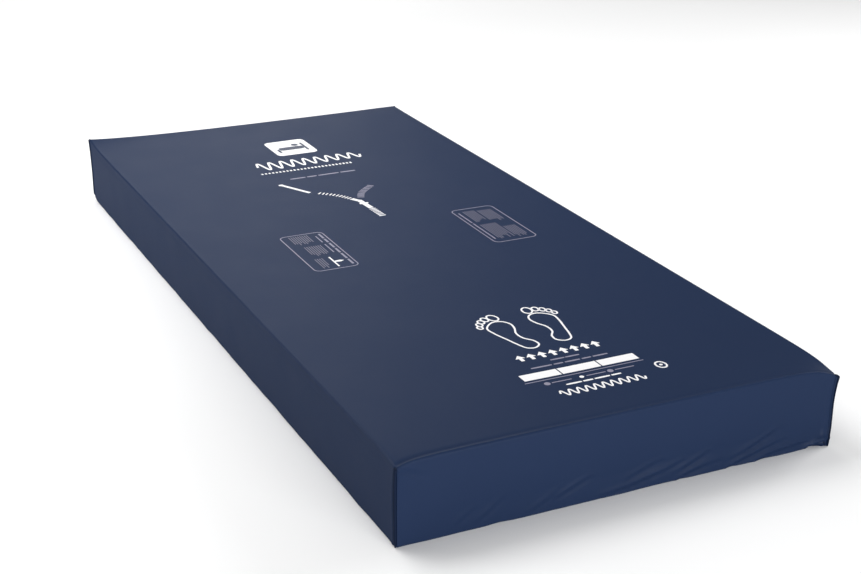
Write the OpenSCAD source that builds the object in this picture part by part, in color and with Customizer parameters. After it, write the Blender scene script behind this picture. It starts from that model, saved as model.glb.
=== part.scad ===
// Hospital pressure relief mattress.
// A zoned foam core sits in a fire barrier sock, inside a two-part cover of coated stretch fabric.
// The two parts of the cover are zipped together on three sides, low down, and the bottom of the
// top cover hangs over the zip as a flap on each of those sides.
// The foot end is +X, the head end is -X, the left side is -Y and +Z is up.
// The origin is at the middle of the underside. All sizes are in millimetres.

/* [Mattress] */
// Overall length, from the head end to the foot end
mattress_l = 1980; // [1900:10:2100]
// Overall width
mattress_w = 880; // [800:10:1000]
// Overall height
mattress_h = 156; // [150:1:180]

/* [Cover] */
// Thickness of the coated cover fabric
fabric_t = 1; // [0.8:0.1:1.2]
// Radius of the cover's upright corners, seen from above
cover_r = 10; // [9:1:14]
// Radius of the corded seam that runs down each upright corner
seam_r = 2.5; // [2:0.1:2.5]
// Height of the fold line that each zip flap hangs from
flap_fold_z = 50.5; // [50:0.5:52]
// Distance from the head end to the start of the side flaps
flap_start = 40; // [30:5:80]
// Height of the base cover's upturned rim
rim_h = 22; // [16:1:23]

/* [Zip] */
// Height of the line where the two rows of teeth meet
zip_z = 32; // [31:0.5:33]
// Distance from the outer face of the cover to the middle of the zip
zip_inset = 9; // [9:0.5:10]
// Thickness of the zip tapes
tape_t = 0.8; // [0.6:0.1:1]
// Height of one row of teeth
teeth_h = 2.9; // [2.5:0.1:3]
// Thickness of the rows of teeth
teeth_t = 2.6; // [2:0.1:3]
// Length of the slider
slider_l = 18; // [16:1:20]
// Length of the pull tab from its rivet to its tip
pull_l = 26; // [20:1:27]

/* [Foam core] */
// Thickness of the foam base layer
base_foam_t = 51.8; // [50:0.1:55]
// Width of the firm bolster down each long side
bolster_w = 70; // [50:5:100]
// Thickness of the support layer between the bolsters
support_foam_t = 44; // [30:1:50]
// Length of the head zone
head_zone_l = 460; // [400:10:520]
// Length of the heel zone
heel_zone_l = 540; // [400:10:600]
// Width of the cuts between the foam cells
cut_w = 6; // [4:1:10]
// Depth of the cuts between the foam cells
cut_depth = 40; // [20:1:45]

/* [Hidden] */
$fn = 64;

half_l = mattress_l / 2;
half_w = mattress_w / 2;
past = 1; // how far a cutting shape runs past what it cuts

// Cover and flaps
hem_z = 2; // the hems clear the floor by this much
fold_gap = 1; // space left above and below the fold line
slit = 0.8; // slit between a flap and the corner seam beside it
flap_x0 = -half_l + flap_start;
drop_z = flap_fold_z + fold_gap;
seam_out = 0.6; // the cord sits this far outside the middle of its corner
seam_top_z = mattress_h - 3;

// Layers between the cover and the foam
sock_t = 0.8;
sock_gap = 0.2; // between the sock and the foam
foam_inset = fabric_t + sock_t + sock_gap + 1;
foam_z0 = fabric_t + sock_gap + sock_t + 0.2;
foam_z1 = mattress_h - fabric_t - sock_t - sock_gap - 0.2;
step_z = foam_z0 + base_foam_t;

// Zip. Its path turns the foot corners round a centre that lies zip_turn inside both faces.
zip_turn = 47;
zip_x0 = flap_x0 + 5; // the tapes start here
teeth_x0 = zip_x0 + 45; // and the teeth here
stop_l = 3;
slider_x = teeth_x0 - 5; // the slider's front end, when the zip is shut
tape_fold_z = drop_z;
tape_hem_h = 12;
tape_lower_z0 = 8;
rim_inset = zip_inset + tape_t / 2;
base_foam_inset = zip_inset + 5.5; // the base layer is set in, so that the zip lies in a rebate

// Slider, in a frame with its front at x = 0, the chain along +X and the outside towards -Y
plate_t = 1.6;
channel_t = 3.6; // between the two plates
tape_slot = tape_t + 0.8;
slider_h = 14;
slider_tail_h = 9.2;
slider_waist_x = slider_l / 2;
channel_h = 10.8;
channel_tail_h = 2 * teeth_h + 0.6;
rivet_x = slider_l / 2;
rivet_r = 1.6;
rivet_head_r = 2.9;
rivet_head_t = 1;
rivet_l = 2.6; // from the outer plate to the head
pull_t = 1.8;
pull_clearance = 0.08; // between the rivet and the eye of the pull tab
plate_y = channel_t / 2 + plate_t; // outer face of a plate

// Foam core
bolster_y = half_w - foam_inset - bolster_w; // inner face of a bolster
cell_z0 = step_z + support_foam_t;
foam_x0 = -half_l + foam_inset;
foam_x1 = half_l - foam_inset;

// ---------- outlines, seen from above ----------

// Outline of the cover at a distance inside its outer face
module cover_outline(inset) {
    l = mattress_l - 2 * inset;
    w = mattress_w - 2 * inset;
    r = cover_r - inset;
    square([l - 2 * r, w], center = true);
    square([l, w - 2 * r], center = true);
    for (x = [-1, 1], y = [-1, 1])
        translate([x * (l / 2 - r), y * (w / 2 - r)]) circle(r);
}

// Outline at a distance inside the cover, with the foot corners rounded for the zip to turn
module zip_outline(inset, x0) {
    r = zip_turn - inset;
    x_turn = half_l - zip_turn;
    y_turn = half_w - zip_turn;
    translate([x0, -half_w + inset]) square([x_turn - x0, mattress_w - 2 * inset]);
    translate([x_turn, -y_turn]) square([r, 2 * y_turn]);
    for (y = [-1, 1]) translate([x_turn, y * y_turn]) circle(r);
}

// Upright band that follows the zip round the left side, the foot end and the right side
module zip_band(outer, inner, z0, z1, x0 = zip_x0) {
    translate([0, 0, z0]) linear_extrude(z1 - z0) difference() {
        zip_outline(outer, x0);
        zip_outline(inner, x0 - past);
    }
}

// Puts its children at the middle of the cord in a corner; x and y are -1 or 1
module at_corner(x, y) {
    reach = (cover_r + seam_out) * cos(45);
    translate([x * (half_l - cover_r + reach), y * (half_w - cover_r + reach)]) children();
}

// ---------- cover ----------

module top_cover() {
    color([0.13, 0.17, 0.30]) difference() {
        translate([0, 0, hem_z]) linear_extrude(mattress_h - hem_z) cover_outline(0);
        translate([0, 0, hem_z - past])
            linear_extrude(mattress_h - fabric_t - hem_z + past) cover_outline(fabric_t);
        // the flaps hang in this space
        translate([flap_x0, -half_w - past, 0])
            cube([mattress_l, mattress_w + 2 * past, drop_z]);
        for (x = [-1, 1], y = [-1, 1])
            at_corner(x, y) cylinder(h = seam_top_z, r = seam_r);
    }
}

module base_cover() {
    color([0.10, 0.13, 0.22]) {
        linear_extrude(fabric_t) base_outline(0);
        translate([0, 0, fabric_t]) linear_extrude(rim_h - fabric_t) difference() {
            base_outline(0);
            base_outline(fabric_t);
        }
    }
}

// Outline of the base cover, which meets the inside of the top cover at the head end
module base_outline(inset) {
    intersection() {
        zip_outline(rim_inset + inset, -half_l + fabric_t + inset);
        cover_outline(fabric_t + inset);
    }
}

module corner_seam(x, y) {
    color([0.09, 0.12, 0.22]) at_corner(x, y)
        translate([0, 0, hem_z]) cylinder(h = seam_top_z - hem_z, r = seam_r);
}

// Hanging strip of cover fabric over the zip. The region is the part of the outline it covers.
module flap(region) {
    z1 = flap_fold_z - fold_gap;
    color([0.15, 0.19, 0.33]) translate([0, 0, hem_z]) linear_extrude(z1 - hem_z) difference() {
        intersection() {
            difference() {
                cover_outline(0);
                cover_outline(fabric_t);
            }
            polygon(region);
        }
        for (y = [-1, 1]) at_corner(1, y) circle(seam_r + slit);
    }
}

// The flap on one long side; side is -1 for the left and 1 for the right
module side_flap(side) {
    x_turn = half_l - cover_r;
    y_turn = half_w - cover_r;
    flap([
        [flap_x0 + slit, side * y_turn], [x_turn, side * y_turn],
        [x_turn + 2 * cover_r, side * (y_turn + 2 * cover_r)],
        [flap_x0 + slit, side * (y_turn + 2 * cover_r)]
    ]);
}

module foot_flap() {
    x_turn = half_l - cover_r;
    y_turn = half_w - cover_r;
    flap([
        [x_turn, -y_turn], [x_turn + 2 * cover_r, -y_turn - 2 * cover_r],
        [x_turn + 2 * cover_r, y_turn + 2 * cover_r], [x_turn, y_turn]
    ]);
}

// ---------- zip ----------

// Tape from the upper teeth up to the flap's fold line, out to the cover and up inside it
module zip_tape_upper() {
    outer = zip_inset - tape_t / 2;
    inner = zip_inset + tape_t / 2;
    color([0.08, 0.10, 0.18]) {
        zip_band(outer, inner, zip_z + teeth_h, tape_fold_z);
        // the fold and the hem follow the cover's own corners
        translate([0, 0, tape_fold_z]) linear_extrude(tape_t) difference() {
            tape_reach() cover_outline(fabric_t);
            zip_outline(inner, zip_x0 - past);
        }
        translate([0, 0, tape_fold_z]) linear_extrude(tape_hem_h) tape_reach() difference() {
            cover_outline(fabric_t);
            cover_outline(fabric_t + tape_t);
        }
    }
}

// Keeps the part of an outline that is towards the foot end from the start of the tape,
// and clear of the cords in the foot corners
module tape_reach() {
    difference() {
        intersection() {
            children();
            translate([zip_x0, -half_w]) square([mattress_l, mattress_w]);
        }
        for (y = [-1, 1]) at_corner(1, y) circle(seam_r);
    }
}

module zip_tape_lower() {
    color([0.08, 0.10, 0.18])
        zip_band(zip_inset - tape_t / 2, rim_inset, tape_lower_z0, zip_z - teeth_h);
}

// One row of teeth as a plain bead; side is -1 for the lower row and 1 for the upper
module zip_teeth(side) {
    z0 = side > 0 ? zip_z : zip_z - teeth_h;
    color([0.10, 0.12, 0.20])
        zip_band(zip_inset - teeth_t / 2, zip_inset + teeth_t / 2, z0, z0 + teeth_h, teeth_x0);
}

// Metal stop crimped on the edge of a tape, in the slider's frame
module tape_stop(l, z0, z1, side) {
    difference() {
        translate([0, -1.6, side > 0 ? z0 : -z1]) cube([l, 3.2, z1 - z0]);
        translate([-past, -tape_t / 2, side > 0 ? teeth_h : -z1 - past])
            cube([l + 2 * past, tape_t, z1 - teeth_h + past]);
    }
}

// Puts its children on the zip's line; side is -1 for the left and 1 for the right
module on_zip(x, side) {
    translate([x, side * (half_w - zip_inset), zip_z]) children();
}

module zip_top_stops() {
    color([0.55, 0.56, 0.58]) on_zip(slider_x - 1 - stop_l, -1)
        for (side = [-1, 1]) tape_stop(stop_l, 0.3, 5, side);
}

module zip_bottom_stop() {
    l = 4;
    color([0.55, 0.56, 0.58]) on_zip(teeth_x0 - l - 0.5, 1)
        for (side = [-1, 1]) tape_stop(l, 0, 5, side);
}

// Extrudes an outline drawn along the chain (x) and up (y) between two depths through the slider
module through(y0, y1) {
    translate([0, y1, 0]) rotate([90, 0, 0]) linear_extrude(y1 - y0) children();
}

// Outline of a plate: wide where the two rows come in, narrow where they leave together
module plate_outline() {
    h = slider_h / 2;
    t = slider_tail_h / 2;
    polygon([
        [0, -h + 2], [3, -h], [slider_waist_x, -h], [slider_l, -t],
        [slider_l, t], [slider_waist_x, h], [3, h], [0, h - 2]
    ]);
}

module channel_outline() {
    h = channel_h / 2;
    t = channel_tail_h / 2;
    polygon([
        [-past, -h], [slider_waist_x - 1, -h], [slider_waist_x + 3, -t], [slider_l + past, -t],
        [slider_l + past, t], [slider_waist_x + 3, t], [slider_waist_x - 1, h], [-past, h]
    ]);
}

module zip_slider() {
    color([0.60, 0.61, 0.63]) on_zip(slider_x, -1) {
        for (side = [-1, 1]) {
            y0 = side > 0 ? channel_t / 2 : -plate_y;
            through(y0, y0 + plate_t) plate_outline();
            // flanges, which leave a slot for the tapes
            f0 = side > 0 ? tape_slot / 2 : -channel_t / 2;
            through(f0, f0 + (channel_t - tape_slot) / 2) difference() {
                plate_outline();
                channel_outline();
            }
        }
        // wedge that parts the two rows and joins the plates
        through(-channel_t / 2, channel_t / 2)
            polygon([[0, -1.6], [2, -1.6], [4.4, 0], [2, 1.6], [0, 1.6]]);
    }
}

module zip_rivet() {
    color([0.66, 0.67, 0.69]) on_zip(slider_x + rivet_x, -1) translate([0, -plate_y, 0])
        rotate([90, 0, 0]) {
            cylinder(h = rivet_l + 0.2, r = rivet_r);
            translate([0, 0, rivet_l]) cylinder(h = rivet_head_t, r = rivet_head_r);
        }
}

// Pull tab, hanging from the rivet
module zip_pull() {
    y0 = -plate_y - 0.4 - pull_t;
    eye_r = 4.2;
    grip_w = 9;
    color([0.62, 0.63, 0.65]) on_zip(slider_x + rivet_x, -1) {
        through(y0, y0 + pull_t) difference() {
            union() {
                circle(eye_r);
                translate([-3, -pull_l + 10]) square([6, pull_l - 10]);
                translate([-grip_w / 2, -pull_l + 2]) square([grip_w, 10]);
                translate([-grip_w / 2 + 2, -pull_l]) square([grip_w - 4, 3]);
                for (x = [-1, 1]) translate([x * (grip_w / 2 - 2), -pull_l + 2]) circle(2);
            }
            circle(rivet_r + pull_clearance);
        }
        // grip ribs
        for (z = [0:2]) translate([-3, y0 - 0.3, -pull_l + 3.5 + 2.5 * z]) cube([6, 0.3, 1]);
    }
}

// ---------- fire barrier sock ----------

// The foam core's envelope, grown on every side: a base layer that is set in, and the rest above it
module core_envelope(grow) {
    translate([0, 0, foam_z0 - grow]) linear_extrude(base_foam_t + grow)
        zip_outline(base_foam_inset - grow, foam_x0 - grow);
    translate([0, 0, step_z - grow]) linear_extrude(foam_z1 - step_z + 2 * grow)
        cover_outline(foam_inset - grow);
}

module fire_barrier_sock() {
    color([0.90, 0.89, 0.85]) difference() {
        core_envelope(sock_gap + sock_t);
        core_envelope(sock_gap);
    }
}

// ---------- foam core ----------

module base_foam() {
    color([0.45, 0.62, 0.80]) translate([0, 0, foam_z0])
        linear_extrude(base_foam_t) zip_outline(base_foam_inset, foam_x0);
}

// Firm bolster down one long side; side is -1 for the left and 1 for the right
module bolster(side) {
    color([0.38, 0.56, 0.76]) translate([0, 0, step_z])
        linear_extrude(foam_z1 - step_z) intersection() {
            cover_outline(foam_inset);
            translate([-half_l, side > 0 ? bolster_y : -bolster_y - mattress_w])
                square([mattress_l, mattress_w]);
        }
}

module support_foam() {
    color([0.86, 0.86, 0.60]) translate([foam_x0, -bolster_y, step_z])
        cube([foam_x1 - foam_x0, 2 * bolster_y, support_foam_t]);
}

// Foam block cut from above into a grid of cells that move on their own
module castellated_foam(x0, l, cells_x, cells_y) {
    w = 2 * bolster_y;
    difference() {
        translate([x0, -bolster_y, cell_z0]) cube([l, w, foam_z1 - cell_z0]);
        for (i = [1:cells_x - 1])
            translate([x0 + i * l / cells_x - cut_w / 2, -bolster_y - past, foam_z1 - cut_depth])
                cube([cut_w, w + 2 * past, cut_depth + past]);
        for (i = [1:cells_y - 1])
            translate([x0 - past, -bolster_y + i * w / cells_y - cut_w / 2, foam_z1 - cut_depth])
                cube([l + 2 * past, cut_w, cut_depth + past]);
    }
}

module head_zone_foam() {
    color([0.93, 0.84, 0.72]) castellated_foam(foam_x0, head_zone_l, 4, 6);
}

module body_zone_foam() {
    x0 = foam_x0 + head_zone_l;
    color([0.95, 0.80, 0.66]) castellated_foam(x0, foam_x1 - heel_zone_l - x0, 11, 8);
}

module heel_zone_foam() {
    color([0.93, 0.88, 0.78]) castellated_foam(foam_x1 - heel_zone_l, heel_zone_l, 9, 6);
}

top_cover();
base_cover();
corner_seam(-1, -1);  // corner_seam_head_left
corner_seam(-1, 1);  // corner_seam_head_right
corner_seam(1, -1);  // corner_seam_foot_left
corner_seam(1, 1);  // corner_seam_foot_right
side_flap(-1);  // flap_left
side_flap(1);  // flap_right
foot_flap();  // flap_foot
zip_tape_upper();
zip_tape_lower();
zip_teeth(1);  // zip_teeth_upper
zip_teeth(-1);  // zip_teeth_lower
zip_top_stops();
zip_bottom_stop();
zip_slider();
zip_rivet();
zip_pull();
fire_barrier_sock();
base_foam();
bolster(-1);  // bolster_left
bolster(1);  // bolster_right
support_foam();
head_zone_foam();
body_zone_foam();
heel_zone_foam();
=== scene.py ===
"""Looks of the pressure relief mattress: its coated cover, zip, fire barrier and foam core.

Everything is in metres, in the CAD model's frame: the foot end is +X, the head end is -X,
the left side is -Y, and the floor is z = 0.
"""

import math

import bmesh
import bpy
import numpy as np
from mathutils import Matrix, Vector


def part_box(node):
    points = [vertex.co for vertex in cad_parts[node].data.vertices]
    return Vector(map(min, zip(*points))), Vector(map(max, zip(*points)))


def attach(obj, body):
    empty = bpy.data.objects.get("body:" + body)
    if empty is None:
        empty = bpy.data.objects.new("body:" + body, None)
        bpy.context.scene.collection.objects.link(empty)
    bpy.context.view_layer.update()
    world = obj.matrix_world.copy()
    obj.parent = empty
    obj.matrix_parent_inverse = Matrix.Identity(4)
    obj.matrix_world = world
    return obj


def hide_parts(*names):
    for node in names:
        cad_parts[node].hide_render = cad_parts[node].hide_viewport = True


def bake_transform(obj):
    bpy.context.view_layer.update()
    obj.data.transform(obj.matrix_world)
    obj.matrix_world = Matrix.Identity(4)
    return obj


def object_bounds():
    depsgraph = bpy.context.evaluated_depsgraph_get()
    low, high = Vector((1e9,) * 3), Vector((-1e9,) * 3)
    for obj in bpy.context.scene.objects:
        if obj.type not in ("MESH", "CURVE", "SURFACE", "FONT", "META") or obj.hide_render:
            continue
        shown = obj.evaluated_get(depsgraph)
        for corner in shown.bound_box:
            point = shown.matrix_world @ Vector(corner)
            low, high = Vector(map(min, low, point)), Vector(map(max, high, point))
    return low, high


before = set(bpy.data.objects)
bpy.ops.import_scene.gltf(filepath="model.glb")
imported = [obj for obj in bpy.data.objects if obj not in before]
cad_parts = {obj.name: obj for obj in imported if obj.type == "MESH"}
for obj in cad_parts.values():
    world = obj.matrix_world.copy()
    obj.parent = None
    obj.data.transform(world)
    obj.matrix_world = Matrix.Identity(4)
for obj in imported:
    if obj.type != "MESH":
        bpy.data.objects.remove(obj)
cad_low, cad_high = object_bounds()

MM = 0.001
ROOT = "mattress"
HALF_L = cad_high.x
HALF_W = cad_high.y
TOP = cad_high.z

# Cover
FABRIC_T = 1 * MM
FOLD_R = 4.5 * MM  # of the folds along the top and of the upright corners
HEM_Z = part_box("flap_foot")[0].z
HEM_DEEP = 11 * MM  # the turned-up hem is twice as thick as the fabric
SPLIT_Z = 58 * MM  # below this, the fabric of the zip sides belongs to the flaps
FLAP_X0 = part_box("flap_left")[0].x
CORD_SIDES = 12
FLOOR_GAP = 0.3 * MM  # the least height of a corner cord's points
SEAM_GAP = (2.2 * MM, 3.2 * MM)  # from the middle of a corner seam to its groove, low and high

# Zip
ZIP_Z = (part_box("zip_teeth_lower")[1].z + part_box("zip_teeth_upper")[0].z) / 2
ZIP_Y = HALF_W - (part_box("zip_tape_lower")[1].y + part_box("zip_teeth_lower")[1].y) / 2
TEETH_X0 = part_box("zip_teeth_lower")[0].x
TOOTH_PITCH = 3.2 * MM
TAPE_T = 0.7 * MM
ZIP_TURN = 47 * MM  # radius of the cover's face where the zip goes round a corner of the foot end

KNIT_PITCH = 1.3 * MM


# ---------- small helpers ----------

def ripple(t, seed, *wavelengths):
    """A smooth wave along t, from -1 to 1, that doesn't repeat within the object."""
    phase = np.random.default_rng(seed).uniform(0, 2 * math.pi, len(wavelengths))
    waves = [np.sin(2 * math.pi * t / w + p) for w, p in zip(wavelengths, phase)]
    return sum(waves) / len(wavelengths)


def bump_at(t, middle, width):
    """A smooth bump of height 1 at middle."""
    return np.exp(-(((t - middle) / width) ** 2))


def steps(*stops):
    """Places from the first stop to the last. Each stop but the last is (place, step after it)."""
    places = [s[0] for s in stops[:-1]] + [stops[-1]]
    found = []
    for a, b, (_, step) in zip(places, places[1:], stops):
        n = max(1, round((b - a) / step))
        found += [a + (b - a) * k / n for k in range(n)]
    return np.array(found + [places[-1]])


def circle_angles(n):
    return [2 * math.pi * k / n for k in range(n)]


def new_object(name, verts, faces, material, body=ROOT, smooth=True):
    mesh = bpy.data.meshes.new(name)
    mesh.from_pydata([tuple(v) for v in verts], [], [list(f) for f in faces])
    mesh.update()
    mesh.polygons.foreach_set("use_smooth", [smooth] * len(mesh.polygons))
    mesh.materials.append(material)
    piece = bpy.data.objects.new(name, mesh)
    bpy.context.scene.collection.objects.link(piece)
    if body:
        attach(piece, body)
    return piece


def fix_normals(piece):
    """Points every face outwards."""
    bm = bmesh.new()
    bm.from_mesh(piece.data)
    bmesh.ops.recalc_face_normals(bm, faces=bm.faces)
    bm.to_mesh(piece.data)
    bm.free()


def tube_faces(rings, sides, first=0):
    """Faces of a closed tube: its wall, from ring to ring of points, and its two ends."""
    faces = []
    for ring in range(first, first + (rings - 1) * sides, sides):
        for s in range(sides):
            t = (s + 1) % sides
            faces.append((ring + s, ring + t, ring + sides + t, ring + sides + s))
    last = first + (rings - 1) * sides
    faces.append(tuple(range(first + sides - 1, first - 1, -1)))
    faces.append(tuple(range(last, last + sides)))
    return faces


# ---------- materials ----------

def material(name, colour, rough, metal=0.0, specular=0.5):
    """A Principled material, and what is needed to add to it."""
    m = bpy.data.materials.new(name)
    m.use_nodes = True
    tree = m.node_tree
    shader = tree.nodes["Principled BSDF"]
    shader.inputs["Base Color"].default_value = (*colour, 1)
    shader.inputs["Roughness"].default_value = rough
    shader.inputs["Metallic"].default_value = metal
    shader.inputs["Specular IOR Level"].default_value = specular
    return m, tree, shader


def texture(tree, kind, scale):
    """A texture node in the object's own coordinates, which are the CAD frame's."""
    node = tree.nodes.new(kind)
    node.inputs["Scale"].default_value = scale
    tree.links.new(tree.nodes.new("ShaderNodeTexCoord").outputs["Object"], node.inputs["Vector"])
    return node


def noise(tree, scale, detail=2.0, roughness=0.5):
    """A noise texture's value. Scale is in waves per metre."""
    node = texture(tree, "ShaderNodeTexNoise", scale)
    node.inputs["Detail"].default_value = detail
    node.inputs["Roughness"].default_value = roughness
    return node.outputs["Fac"]


def math_node(tree, operation, a, b):
    node = tree.nodes.new("ShaderNodeMath")
    node.operation = operation
    for socket, value in zip(node.inputs, (a, b)):
        if isinstance(value, (int, float)):
            socket.default_value = value
        else:
            tree.links.new(value, socket)
    return node.outputs[0]


def vary(tree, shader, factor, low, high):
    """Colour from low to high, as factor goes from 0 to 1."""
    mix = tree.nodes.new("ShaderNodeMix")
    mix.data_type = "RGBA"
    mix.inputs["A"].default_value = (*low, 1)
    mix.inputs["B"].default_value = (*high, 1)
    tree.links.new(factor, mix.inputs["Factor"])
    tree.links.new(mix.outputs["Result"], shader.inputs["Base Color"])


def rough_range(tree, shader, factor, low, high, layer="Roughness"):
    spread = tree.nodes.new("ShaderNodeMapRange")
    spread.inputs["To Min"].default_value = low
    spread.inputs["To Max"].default_value = high
    tree.links.new(factor, spread.inputs["Value"])
    tree.links.new(spread.outputs["Result"], shader.inputs[layer])


def relief(tree, shader, height, depth, strength):
    """Bumps up to depth high, in the coat as well as under it."""
    bump = tree.nodes.new("ShaderNodeBump")
    bump.inputs["Strength"].default_value = strength
    bump.inputs["Distance"].default_value = depth
    tree.links.new(height, bump.inputs["Height"])
    tree.links.new(bump.outputs["Normal"], shader.inputs["Normal"])
    tree.links.new(bump.outputs["Normal"], shader.inputs["Coat Normal"])


def weave(tree, pitch):
    """Height of a plain weave on faces that point any way: waves along all three axes, crossed."""
    place = tree.nodes.new("ShaderNodeTexCoord").outputs["Object"]
    scaled = tree.nodes.new("ShaderNodeVectorMath")
    scaled.operation = "SCALE"
    tree.links.new(place, scaled.inputs[0])
    scaled.inputs["Scale"].default_value = 2 * math.pi / pitch
    parts = tree.nodes.new("ShaderNodeSeparateXYZ")
    tree.links.new(scaled.outputs["Vector"], parts.inputs[0])
    x, y, z = (math_node(tree, "SINE", parts.outputs[k], 0) for k in range(3))
    xy, yz, zx = (math_node(tree, "MULTIPLY", a, b) for a, b in ((x, y), (y, z), (z, x)))
    return math_node(tree, "ADD", math_node(tree, "ADD", xy, yz), zx)


def coated_fabric(name, dark, light, coat, rough):
    """Stretch knit with a thin polyurethane coat: a soft gloss over a faint knit."""
    m, tree, shader = material(name, dark, 0.9, specular=0.0)
    shader.inputs["Coat Weight"].default_value = coat
    shader.inputs["Coat IOR"].default_value = 1.5
    vary(tree, shader, noise(tree, 3.5, 3.0, 0.55), dark, light)
    rough_range(tree, shader, noise(tree, 11.0), rough - 0.04, rough + 0.04, "Coat Roughness")
    slack = noise(tree, 26.0)
    knit = math_node(tree, "MULTIPLY", weave(tree, KNIT_PITCH), 0.1)
    height = math_node(tree, "ADD", math_node(tree, "MULTIPLY", slack, 1.4), knit)
    relief(tree, shader, height, 0.35 * MM, 0.5)
    return m


def woven(name, colour, rough, specular, tone, shades, pitch, depth, strength):
    """Threads in relief. Tone is a noise's scale and detail, over which the colour takes both shades."""
    m, tree, shader = material(name, colour, rough, specular=specular)
    low, high = ([c * share for c in colour] for share in shades)
    vary(tree, shader, noise(tree, *tone), low, high)
    relief(tree, shader, weave(tree, pitch), depth, strength)
    return m


def ink(name, colour):
    """Screen-printed ink: flat, with the fabric's grain just showing through."""
    return woven(name, colour, 0.55, 0.3, (900.0, 2.0), (0.86, 1), KNIT_PITCH, 0.05 * MM, 0.4)


def webbing(name, colour):
    """Woven tape."""
    return woven(name, colour, 0.75, 0.3, (240.0, 3.0), (1, 1.7), 0.9 * MM, 0.25 * MM, 0.8)


def foam(name, dark, light):
    """Cut foam: open cells of several sizes."""
    m, tree, shader = material(name, dark, 0.95, specular=0.15)
    cells = texture(tree, "ShaderNodeTexVoronoi", 650.0)
    coarse = noise(tree, 160.0, 6.0, 0.7)
    vary(tree, shader, coarse, dark, light)
    relief(tree, shader, math_node(tree, "ADD", cells.outputs["Distance"], coarse), 0.8 * MM, 0.8)
    return m


def smooth_solid(name, colour, rough, metal, tone, shades):
    """Plastic or metal. Tone is a noise's scale and detail, over which roughness and colour vary."""
    m, tree, shader = material(name, colour, rough[0], metal)
    marks = noise(tree, *tone)
    rough_range(tree, shader, marks, *rough)
    low, high = ([c * share for c in colour] for share in shades)
    vary(tree, shader, marks, low, high)
    if metal:  # fine tumbling marks
        relief(tree, shader, marks, 0.03 * MM, 0.5)
    return m


def plain_floor(name):
    m, tree, shader = material(name, (0.9, 0.9, 0.9), 0.8, specular=0.1)
    vary(tree, shader, noise(tree, 2.0), (0.89, 0.89, 0.89), (0.91, 0.91, 0.91))
    return m


NAVY = coated_fabric("navy_cover", (0.0103, 0.0214, 0.0565), (0.0113, 0.023, 0.06), 0.2, 0.45)
NAVY_BASE = coated_fabric("navy_base", (0.01, 0.017, 0.038), (0.012, 0.02, 0.044), 0.12, 0.55)
# painted shade: the corner seams' cord is coloured darker than the cover, standing in for the shade in
# the groove along each seam
CORD_NAVY_PAINTED_SHADE = coated_fabric("seam_cord_painted_shade", (0.0055, 0.011, 0.029), (0.0065, 0.0125, 0.033), 0.12, 0.45)
NAVY_INK = ink("navy_ink", (0.012, 0.024, 0.062))
WHITE_INK = ink("white_ink", (0.88, 0.87, 0.88))
GREY_INK = ink("grey_ink", (0.24, 0.23, 0.31))
DIM_INK = ink("dim_ink", (0.13, 0.125, 0.18))
TAPE = webbing("zip_tape", (0.015, 0.02, 0.042))
TEETH = smooth_solid("zip_teeth", (0.018, 0.024, 0.05), (0.28, 0.45), 0, (500.0, 2.0), (1, 1.5))
METAL = smooth_solid("zip_metal", (0.62, 0.63, 0.64), (0.16, 0.42), 1, (900.0, 5.0), (0.85, 1))
THREAD = webbing("thread", (0.05, 0.06, 0.1))
SOCK = woven(
    "fire_barrier", (0.78, 0.76, 0.68), 0.9, 0.2, (70.0, 4.0), (0.85, 1), 2.2 * MM, 0.4 * MM, 0.9
)
SOCK.node_tree.nodes["Principled BSDF"].inputs["Sheen Weight"].default_value = 0.3
FOAMS = {  # by the record's material slot
    "firm_foam": foam("firm_foam", (0.14, 0.3, 0.52), (0.22, 0.42, 0.66)),
    "support_foam": foam("support_foam", (0.66, 0.63, 0.3), (0.78, 0.75, 0.42)),
    "soft_foam": foam("soft_foam", (0.78, 0.6, 0.42), (0.88, 0.72, 0.55)),
}


# ---------- sheets folded over a box ----------

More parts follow.
